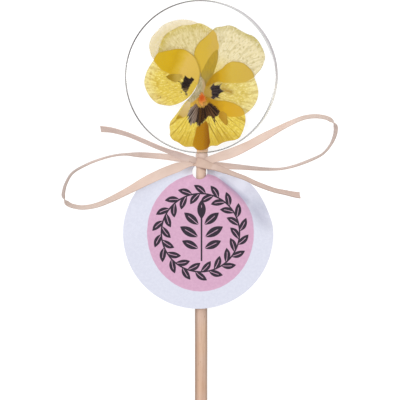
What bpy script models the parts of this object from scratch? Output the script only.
"""Flower lollipop: a viola pressed in a clear sugar disc, on a wooden stick that carries a round card tag
and a narrow satin ribbon tied in a bow.

Metres, +Z up. The lollipop lies on its back. The origin is the middle of the disc's flat back, +X is the
flower's right, the stick runs along -Y, and +Z is the side that shows.
"""

import math

import bmesh
import bpy
from mathutils import Matrix, Vector

MM = 0.001

# The clear sugar disc
CANDY_RADIUS = 25.0 * MM
CANDY_THICKNESS = 8.0 * MM
CANDY_EDGE = 0.7 * MM
CANDY_SIDES = 72
CANDY_EDGE_STEPS = 2

# The wooden stick, sunk 11 mm into the disc
STICK_RADIUS = 2.0 * MM
STICK_LENGTH = 150.0 * MM
STICK_HEIGHT = 3.6 * MM
STICK_TOP_Y = -14.3 * MM
STICK_CHAMFER = 0.4 * MM
STICK_SIDES = 28
FIT_GAP = 0.3 * MM

# The pressed flower: every layer follows one shared ripple, so that the layers never cross
PETAL_THICKNESS = 0.2 * MM
POCKET_GAP = 0.35 * MM
RIPPLE_HEIGHT = 0.1 * MM
RIPPLE_ACROSS = 0.35 / MM
RIPPLE_ALONG = 0.42 / MM
RIPPLE_SHIFTS = (0.8, 0.3)
RINGS = (0.4, 0.75, 1.0)
SECTORS = 28

# Each petal has its heart, its height above the disc's back, and how far it reaches from the heart
# in sixteen even directions, anticlockwise from +X, all in millimetres. Layers lie 0.4 mm apart
PETALS = {
    "petal_back": {
        "heart": (-7.7, 9.7), "height": 2.8,
        "reaches": (9.3, 10.4, 10.3, 9.6, 8.9, 8.7, 8.6, 9.1, 9.5, 9.3, 7.9, 7.2, 7.3, 8.2, 8.9, 8.7),
    },
    "petal_upper_left": {
        "heart": (-3.8, 8.7), "height": 3.2,
        "reaches": (9.2, 9.6, 9.8, 9.4, 8.1, 8.3, 8.7, 9.7, 10.2, 11.9, 10.5, 9.8, 9.8, 11.6, 9.3, 8.8),
    },
    "petal_upper_right": {
        "heart": (8.7, 7.0), "height": 3.6,
        "reaches": (11.9, 10.8, 9.5, 9.0, 9.6, 9.7, 9.3, 10.2, 11.0, 10.6, 12.2, 9.8, 9.2, 9.9, 11.0, 11.6),
    },
    "petal_left": {
        "heart": (-9.7, -0.5), "height": 4.0,
        "reaches": (8.9, 9.4, 10.0, 10.0, 9.2, 9.1, 8.3, 8.2, 8.9, 9.2, 9.4, 9.4, 9.0, 8.5, 8.3, 8.5),
    },
    "petal_right": {
        "heart": (10.0, -4.4), "height": 4.0,
        "reaches": (8.5, 8.2, 8.9, 9.4, 9.2, 7.9, 7.9, 8.3, 9.0, 9.3, 8.3, 8.3, 8.8, 9.0, 8.8, 8.7),
    },
    "petal_lip": {
        "heart": (1.8, -14.6), "height": 4.4,
        "reaches": (12.6, 11.8, 9.2, 7.5, 8.0, 9.2, 9.4, 9.7, 11.7, 13.1, 11.3, 9.8, 9.0, 8.7, 9.5, 12.0),
    },
}

# The lip rises from the flower's middle to pass over the end of the stick
LIP_RISE = 1.8 * MM
LIP_RISE_START_Y = -8.0 * MM
LIP_RISE_END_Y = -14.0 * MM

# The sepals are tapered strips behind the petals: middle line in millimetres, and widths
SEPALS = {
    "sepal_upper": {
        "line": ((1.4, -3.2), (1.6, 0.6), (2.9, 4.6), (4.3, 8.6)), "widths": (2.4, 3.1, 3.1, 2.0),
        "height": 2.4,
    },
    "sepal_lower": {
        "line": ((-1.7, -2.6), (-3.6, -5.8), (-5.9, -9.0), (-7.7, -11.6)), "widths": (1.5, 1.9, 1.6, 0.6),
        "height": 3.6,
    },
}
SEPAL_STATIONS = 9

# The flower's throat, a flattened nub on the lip's narrow end
THROAT_CENTRE = (0.2 * MM, -6.9 * MM)
THROAT_HEIGHT = 5.05 * MM
THROAT_RADII = (1.6 * MM, 1.8 * MM, 0.3 * MM)

# The round card tag: its upper band goes under the stick, and below the hole it lies on the stick
TAG_CENTRE = (-1.1 * MM, -51.5 * MM)
TAG_RADIUS = 24.6 * MM
TAG_THICKNESS = 0.3 * MM
TAG_GAP = 0.45 * MM
TAG_HIGH = STICK_HEIGHT + STICK_RADIUS + TAG_GAP + 0.5 * TAG_THICKNESS
TAG_LOW = 0.6 * MM
TAG_SIDE_DROP = 0.4
TAG_SIDE_X = 12.0 * MM
HOLE_CENTRE = (-0.35 * MM, -31.1 * MM)
HOLE_RADIUS = 2.65 * MM
TAG_STEP_TOP_Y = -28.9 * MM
TAG_STEP_LENGTH = 4.5 * MM
TAG_STEP_SPREAD = 1.1
TAG_RINGS = (0.0, 0.025, 0.06, 0.11, 0.18, 0.28, 0.42, 0.6, 0.8, 1.0)
TAG_SECTORS = 56

# The ribbon, and the knot that binds it to the stick
RIBBON_WIDTH = 3.2 * MM
RIBBON_THICKNESS = 0.3 * MM
RIBBON_STATION = 2.2 * MM
ROUTE_SAMPLES = 12
KNOT_Y = -28.0 * MM
KNOT_SIDES = 32
KNOT_PAD_SIZE = (6.0 * MM, 3.4 * MM, 1.3 * MM)
KNOT_PAD_CENTRE = (0.1 * MM, -28.3 * MM, 6.6 * MM)
KNOT_PAD_TURN = math.radians(-22)
KNOT_PAD_ROUND = 0.45 * MM
KNOT_PAD_STEPS = 3

# Each strand's route: x, y and z of its middle line in millimetres, and how far the ribbon is rolled
# from lying flat, in degrees. It leaves the knot flat and turns on edge, and comes back on its other side
STRANDS = {
    "ribbon_loop_right": (
        (3.6, -27.1, 6.2, 0), (6.0, -26.3, 6.3, 0), (9.8, -25.1, 6.1, 5), (15.0, -22.8, 5.5, 32),
        (20.0, -20.1, 4.6, 36), (25.3, -17.2, 3.5, 54), (30.2, -14.8, 2.6, 63), (34.0, -13.4, 2.0, 66),
        (37.7, -13.0, 1.9, 66), (41.0, -13.5, 1.9, 66), (42.7, -14.4, 1.9, 67), (43.5, -15.2, 1.9, 90),
        (44.0, -16.2, 1.9, 109), (44.1, -17.4, 1.9, 109), (43.7, -19.5, 1.9, 107), (42.4, -22.3, 1.9, 101),
        (39.9, -25.2, 1.9, 100), (36.3, -27.1, 1.9, 104), (31.3, -29.0, 1.9, 103), (26.8, -30.1, 2.2, 102),
        (22.6, -30.3, 2.7, 106), (18.0, -30.1, 3.4, 112), (13.3, -29.7, 4.0, 118), (8.1, -29.3, 4.5, 126),
        (3.7, -28.8, 4.7, 136),
    ),
    "ribbon_loop_left": (
        (-3.6, -28.6, 6.1, 4), (-6.6, -29.4, 6.2, 4), (-10.0, -30.6, 6.4, 4), (-13.2, -31.9, 6.5, 5),
        (-18.2, -34.3, 6.4, 22), (-23.3, -37.1, 6.2, 44), (-29.0, -40.0, 5.0, 54), (-34.3, -42.2, 3.4, 62),
        (-39.1, -43.0, 2.2, 66), (-42.8, -42.4, 1.9, 67), (-44.4, -41.4, 1.9, 67), (-45.0, -40.5, 1.9, 90),
        (-45.4, -39.5, 1.9, 109), (-45.5, -38.4, 1.9, 110),
        (-44.7, -35.2, 1.9, 107), (-42.4, -31.5, 1.9, 104),
        (-37.6, -28.7, 1.9, 103), (-32.9, -26.9, 1.9, 102),
        (-28.6, -25.8, 2.0, 101), (-24.6, -25.4, 2.3, 101),
        (-20.2, -25.6, 2.9, 116), (-13.6, -26.1, 3.8, 122), (-8.7, -26.7, 4.4, 127), (-3.7, -27.5, 4.7, 138),
    ),
    "ribbon_tail_left": (
        (-3.4, -27.1, 7.4, 18), (-5.6, -26.5, 7.6, 33), (-9.9, -24.9, 7.2, 55), (-12.7, -23.8, 6.6, 60),
        (-15.4, -22.7, 5.8, 59), (-18.6, -21.3, 5.0, 58), (-23.3, -19.3, 3.7, 57), (-26.7, -18.2, 2.8, 56),
        (-30.0, -17.4, 2.1, 55), (-33.2, -17.1, 1.6, 54),
    ),
    "ribbon_tail_right": (
        (3.3, -29.5, 7.4, 16), (5.0, -30.0, 7.6, 38), (7.7, -31.0, 7.6, 57), (10.9, -32.2, 7.5, 64),
        (14.2, -33.4, 7.3, 66), (17.5, -35.0, 7.0, 64), (20.8, -36.3, 6.2, 63), (24.1, -37.4, 4.9, 64),
        (27.4, -38.1, 3.3, 62), (30.2, -38.7, 2.1, 57), (32.4, -39.0, 1.6, 54),
    ),
}

# Each finish: screen colour from 0 to 255, roughness, and how far light goes through
FINISHES = {
    "candy": ((250, 251, 252), 0.04, 1.0),
    "petal_back": ((238, 224, 190), 0.45, 0.0),
    "petal_upper_left": ((228, 211, 153), 0.45, 0.0),
    "petal_upper_right": ((228, 214, 170), 0.45, 0.0),
    "petal_left": ((230, 206, 112), 0.45, 0.0),
    "petal_right": ((230, 210, 130), 0.45, 0.0),
    "petal_lip": ((224, 196, 84), 0.45, 0.0),
    "sepal_upper": ((167, 147, 77), 0.55, 0.0),
    "sepal_lower": ((163, 152, 112), 0.55, 0.0),
    "throat": ((206, 118, 50), 0.5, 0.0),
    "stick": ((218, 186, 165), 0.7, 0.0),
    "tag": ((226, 226, 240), 0.75, 0.0),
    "ribbon": ((230, 204, 190), 0.4, 0.0),
}
SMOOTH_UNDER = math.radians(50)
BEVEL_OVER = math.radians(60)


def clear_scene():
    for old in list(bpy.data.objects):
        bpy.data.objects.remove(old, do_unlink=True)


def linear(level):
    """One 0 to 255 screen colour value as the linear value that a shader takes."""
    share = level / 255.0
    return share / 12.92 if share <= 0.04045 else ((share + 0.055) / 1.055) ** 2.4


def finish(name):
    colour, roughness, see_through = FINISHES[name]
    material = bpy.data.materials.new(name)
    material.use_nodes = True
    shader = material.node_tree.nodes["Principled BSDF"]
    shader.inputs["Base Color"].default_value = [linear(level) for level in colour] + [1.0]
    shader.inputs["Roughness"].default_value = roughness
    shader.inputs["Metallic"].default_value = 0.0
    shader.inputs["Transmission Weight"].default_value = see_through
    return material


def place(name, bm, material=None):
    """Puts a finished bmesh in the scene as a named object, smooth but for its sharp edges."""
    bm.normal_update()
    mesh = bpy.data.meshes.new(name)
    bm.to_mesh(mesh)
    bm.free()
    obj = bpy.data.objects.new(name, mesh)
    bpy.context.scene.collection.objects.link(obj)
    if material:
        mesh.materials.append(material)
    mesh.shade_smooth()
    mesh.set_sharp_from_angle(angle=SMOOTH_UNDER)
    return obj


def as_cutter(obj):
    obj.hide_render = True
    obj.display_type = "WIRE"
    return obj


def thicken(obj, thickness):
    """Gives a sheet its thickness, half to each side, so that both faces keep the same triangles."""
    wall = obj.modifiers.new("thickness", "SOLIDIFY")
    wall.thickness = thickness
    wall.offset = 0.0
    return obj


def combine(obj, other, operation):
    join = obj.modifiers.new(other.name, "BOOLEAN")
    join.operation = operation
    join.object = other


def ripple(x, y):
    shift_x, shift_y = RIPPLE_SHIFTS
    return RIPPLE_HEIGHT * (math.sin(RIPPLE_ACROSS * x + shift_x) + math.cos(RIPPLE_ALONG * y - shift_y))


def smooth_step(value):
    value = min(max(value, 0.0), 1.0)
    return value * value * (3.0 - 2.0 * value)


def through(values, place_on, closed):
    """The value at a place along a smooth curve through the given values, one whole step apart."""
    last = len(values) - 1
    start = math.floor(place_on) if closed else min(int(place_on), last - 1)
    part = place_on - start
    steps = (start - 1, start, start + 1, start + 2)
    a, b, c, d = (values[s % len(values)] if closed else values[min(max(s, 0), last)] for s in steps)
    squared = 2 * a - 5 * b + 4 * c - d
    cubed = 3 * b - a - 3 * c + d
    return 0.5 * (2 * b + (c - a) * part + squared * part**2 + cubed * part**3)


def petal_outline(petal, grow):
    """The petal's edge seen from above, moved outwards by grow."""
    heart = Vector(petal["heart"]) * MM
    edge = []
    for k in range(SECTORS):
        turn = 2 * math.pi * k / SECTORS
        reach = through(petal["reaches"], len(petal["reaches"]) * k / SECTORS, closed=True) * MM
        edge.append(heart + reach * Vector((math.cos(turn), math.sin(turn))))
    moved = []
    for k, point in enumerate(edge):
        along = edge[(k + 1) % SECTORS] - edge[k - 1]
        moved.append(point + grow * Vector((along.y, -along.x)).normalized())
    return moved


def petal_height(name, petal, x, y):
    rise = 0.0
    if name == "petal_lip":
        rise = LIP_RISE * smooth_step((y - LIP_RISE_START_Y) / (LIP_RISE_END_Y - LIP_RISE_START_Y))
    return petal["height"] * MM + rise + ripple(x, y)


def petal_sheet(name, petal, grow):
    """Rings of triangles from the petal's heart out to its edge."""
    bm = bmesh.new()
    heart = Vector(petal["heart"]) * MM
    edge = petal_outline(petal, grow)

    def vertex(flat):
        return bm.verts.new((flat.x, flat.y, petal_height(name, petal, flat.x, flat.y)))

    middle = vertex(heart)
    rings = [[vertex(heart.lerp(point, share)) for point in edge] for share in RINGS]
    for k in range(SECTORS):
        after = (k + 1) % SECTORS
        bm.faces.new((middle, rings[0][k], rings[0][after]))
        for inner, outer in zip(rings, rings[1:]):
            bm.faces.new((inner[k], outer[k], outer[after]))
            bm.faces.new((inner[k], outer[after], inner[after]))
    return bm


def make_petals():
    """The petals, and for each the pocket that it fills in the disc."""
    pockets = []
    for name, petal in PETALS.items():
        thicken(place(name, petal_sheet(name, petal, 0.0), finish(name)), PETAL_THICKNESS)
        pocket = place(f"{name}_pocket", petal_sheet(name, petal, POCKET_GAP))
        thicken(as_cutter(pocket), PETAL_THICKNESS + 2 * POCKET_GAP)
        pockets.append(pocket)
    return pockets


def band(stations):
    """A sheet between two edges, given as pairs of points along it, in triangles."""
    bm = bmesh.new()
    rows = [[bm.verts.new(point) for point in pair] for pair in stations]
    for (left, right), (next_left, next_right) in zip(rows, rows[1:]):
        bm.faces.new((left, right, next_right))
        bm.faces.new((left, next_right, next_left))
    return bm


def sepal_sheet(sepal, grow):
    """A tapered strip along the sepal's middle line, longer and wider by grow."""
    count = len(sepal["line"]) - 1
    stations = []
    middle = []
    for k in range(SEPAL_STATIONS):
        at = count * k / (SEPAL_STATIONS - 1)
        middle.append(Vector([through([p[i] for p in sepal["line"]], at, closed=False) for i in (0, 1)]) * MM)
    for k, point in enumerate(middle):
        along = (middle[min(k + 1, len(middle) - 1)] - middle[max(k - 1, 0)]).normalized()
        if k == 0:
            point = point - along * grow
        if k == len(middle) - 1:
            point = point + along * grow
        half = 0.5 * through(sepal["widths"], count * k / (SEPAL_STATIONS - 1), closed=False) * MM + grow
        side = Vector((along.y, -along.x)) * half
        pair = (point - side, point + side)
        stations.append([(p.x, p.y, sepal["height"] * MM + ripple(p.x, p.y)) for p in pair])
    return band(stations)


def make_sepals():
    pockets = []
    for name, sepal in SEPALS.items():
        thicken(place(name, sepal_sheet(sepal, 0.0), finish(name)), PETAL_THICKNESS)
        pocket = place(f"{name}_pocket", sepal_sheet(sepal, POCKET_GAP))
        thicken(as_cutter(pocket), PETAL_THICKNESS + 2 * POCKET_GAP)
        pockets.append(pocket)
    return pockets


def nub(grow):
    """The throat's flattened round form."""
    bm = bmesh.new()
    bmesh.ops.create_uvsphere(bm, u_segments=14, v_segments=8, radius=1.0)
    bmesh.ops.scale(bm, vec=[radius + grow for radius in THROAT_RADII], verts=bm.verts)
    x, y = THROAT_CENTRE
    bmesh.ops.translate(bm, vec=(x, y, THROAT_HEIGHT + ripple(x, y)), verts=bm.verts)
    return bm


def make_throat():
    place("throat", nub(0.0), finish("throat"))
    return as_cutter(place("throat_pocket", nub(FIT_GAP)))


def rod(radius, start_y, end_y, sides):
    """A round bar along Y at the stick's height."""
    bm = bmesh.new()
    length = start_y - end_y
    bmesh.ops.create_cone(
        bm, cap_ends=True, segments=sides, radius1=radius, radius2=radius, depth=length
    )
    bmesh.ops.rotate(bm, cent=(0, 0, 0), matrix=Matrix.Rotation(-0.5 * math.pi, 3, "X"), verts=bm.verts)
    bmesh.ops.translate(bm, vec=(0, 0.5 * (start_y + end_y), STICK_HEIGHT), verts=bm.verts)
    return bm


def make_stick():
    bm = rod(STICK_RADIUS, STICK_TOP_Y, STICK_TOP_Y - STICK_LENGTH, STICK_SIDES)
    stick = place("stick", bm, finish("stick"))
    ends = stick.modifiers.new("chamfered ends", "BEVEL")
    ends.width = STICK_CHAMFER
    ends.limit_method = "ANGLE"
    ends.angle_limit = BEVEL_OVER
    bore = rod(STICK_RADIUS + FIT_GAP, STICK_TOP_Y + FIT_GAP, -2 * CANDY_RADIUS, STICK_SIDES)
    return as_cutter(place("stick_bore", bore))


def make_candy(pockets):
    bm = bmesh.new()
    bmesh.ops.create_cone(
        bm, cap_ends=True, segments=CANDY_SIDES, radius1=CANDY_RADIUS, radius2=CANDY_RADIUS,
        depth=CANDY_THICKNESS,
    )
    bmesh.ops.translate(bm, vec=(0, 0, 0.5 * CANDY_THICKNESS), verts=bm.verts)
    candy = place("candy", bm, finish("candy"))
    edge = candy.modifiers.new("rounded edges", "BEVEL")
    edge.width = CANDY_EDGE
    edge.segments = CANDY_EDGE_STEPS
    edge.limit_method = "ANGLE"
    edge.angle_limit = BEVEL_OVER
    for pocket in pockets:
        combine(candy, pocket, "DIFFERENCE")


def card_height(x, y):
    """The middle of the card: low under the stick at its upper band, then up the hole's sides and flat."""
    beside = max(0.0, abs(x) - HOLE_RADIUS)
    drop_share = 1.0 - (1.0 - TAG_SIDE_DROP) * smooth_step(beside / (TAG_SIDE_X - HOLE_RADIUS))
    length = TAG_STEP_LENGTH + TAG_STEP_SPREAD * beside
    return TAG_HIGH - (TAG_HIGH - TAG_LOW) * drop_share * (1.0 - smooth_step((TAG_STEP_TOP_Y - y) / length))


def make_tag():
    """Rings that grow and shift from the punched hole to the card's edge, lifted to the card's height."""
    bm = bmesh.new()
    hole = Vector(HOLE_CENTRE)
    whole = Vector(TAG_CENTRE)
    rings = []
    for share in TAG_RINGS:
        centre = hole.lerp(whole, share)
        radius = HOLE_RADIUS + (TAG_RADIUS - HOLE_RADIUS) * share
        ring = []
        for k in range(TAG_SECTORS):
            turn = 2 * math.pi * k / TAG_SECTORS
            x = centre.x + radius * math.cos(turn)
            y = centre.y + radius * math.sin(turn)
            ring.append(bm.verts.new((x, y, card_height(x, y))))
        rings.append(ring)
    for inner, outer in zip(rings, rings[1:]):
        for k in range(TAG_SECTORS):
            after = (k + 1) % TAG_SECTORS
            bm.faces.new((inner[k], outer[k], outer[after]))
            bm.faces.new((inner[k], outer[after], inner[after]))
    thicken(place("tag", bm, finish("tag")), TAG_THICKNESS)


def route_points(route):
    """Even stations along a smooth curve through a strand's route: place and roll."""
    columns = list(zip(*route))
    samples = []
    for k in range(ROUTE_SAMPLES * (len(route) - 1) + 1):
        x, y, z, roll = (through(column, k / ROUTE_SAMPLES, closed=False) for column in columns)
        samples.append((Vector((x, y, z)) * MM, math.radians(roll)))
    lengths = [0.0]
    for (start, _), (end, _) in zip(samples, samples[1:]):
        lengths.append(lengths[-1] + (end - start).length)
    count = round(lengths[-1] / RIBBON_STATION)
    stations = []
    for k in range(count + 1):
        wanted = lengths[-1] * k / count
        after = next(i for i, length in enumerate(lengths) if length >= wanted - 1e-9 and i > 0)
        share = (wanted - lengths[after - 1]) / (lengths[after] - lengths[after - 1])
        point = samples[after - 1][0].lerp(samples[after][0], share)
        roll = samples[after - 1][1] + share * (samples[after][1] - samples[after - 1][1])
        stations.append((point, roll))
    return stations


def strand_sheet(route):
    """The ribbon between its two edges: across the route, and turned about it by the roll."""
    stations = route_points(route)
    up = Vector((0, 0, 1))
    pairs = []
    for k, (point, roll) in enumerate(stations):
        along = (stations[min(k + 1, len(stations) - 1)][0] - stations[max(k - 1, 0)][0]).normalized()
        side = along.cross(up).normalized()
        across = side * math.cos(roll) + side.cross(along) * math.sin(roll)
        pairs.append((point - across * 0.5 * RIBBON_WIDTH, point + across * 0.5 * RIBBON_WIDTH))
    return band(pairs)


def make_knot(satin):
    """One turn of ribbon round the stick, with the folded pad of the knot on top of it."""
    half = 0.5 * RIBBON_WIDTH
    inner = STICK_RADIUS + FIT_GAP
    outside = rod(inner + RIBBON_THICKNESS, KNOT_Y + half, KNOT_Y - half, KNOT_SIDES)
    knot = place("ribbon_knot", outside, satin)
    combine(knot, as_cutter(place("knot_pad", knot_pad())), "UNION")
    bore = rod(inner, KNOT_Y + RIBBON_WIDTH, KNOT_Y - RIBBON_WIDTH, KNOT_SIDES)
    combine(knot, as_cutter(place("knot_bore", bore)), "DIFFERENCE")


def knot_pad():
    bm = bmesh.new()
    bmesh.ops.create_cube(bm, size=1.0)
    bmesh.ops.scale(bm, vec=KNOT_PAD_SIZE, verts=bm.verts)
    bmesh.ops.bevel(
        bm, geom=bm.edges[:], offset=KNOT_PAD_ROUND, offset_type="OFFSET", segments=KNOT_PAD_STEPS,
        profile=0.5, affect="EDGES",
    )
    turn = Matrix.Rotation(KNOT_PAD_TURN, 3, "Z")
    bmesh.ops.rotate(bm, cent=(0, 0, 0), matrix=turn, verts=bm.verts)
    bmesh.ops.translate(bm, vec=KNOT_PAD_CENTRE, verts=bm.verts)
    return bm


def make_ribbon():
    satin = finish("ribbon")
    make_knot(satin)
    for name, route in STRANDS.items():
        thicken(place(name, strand_sheet(route), satin), RIBBON_THICKNESS)


clear_scene()
flower_pockets = make_petals() + make_sepals() + [make_throat()]
stick_bore = make_stick()
make_candy(flower_pockets + [stick_bore])
make_tag()
make_ribbon()
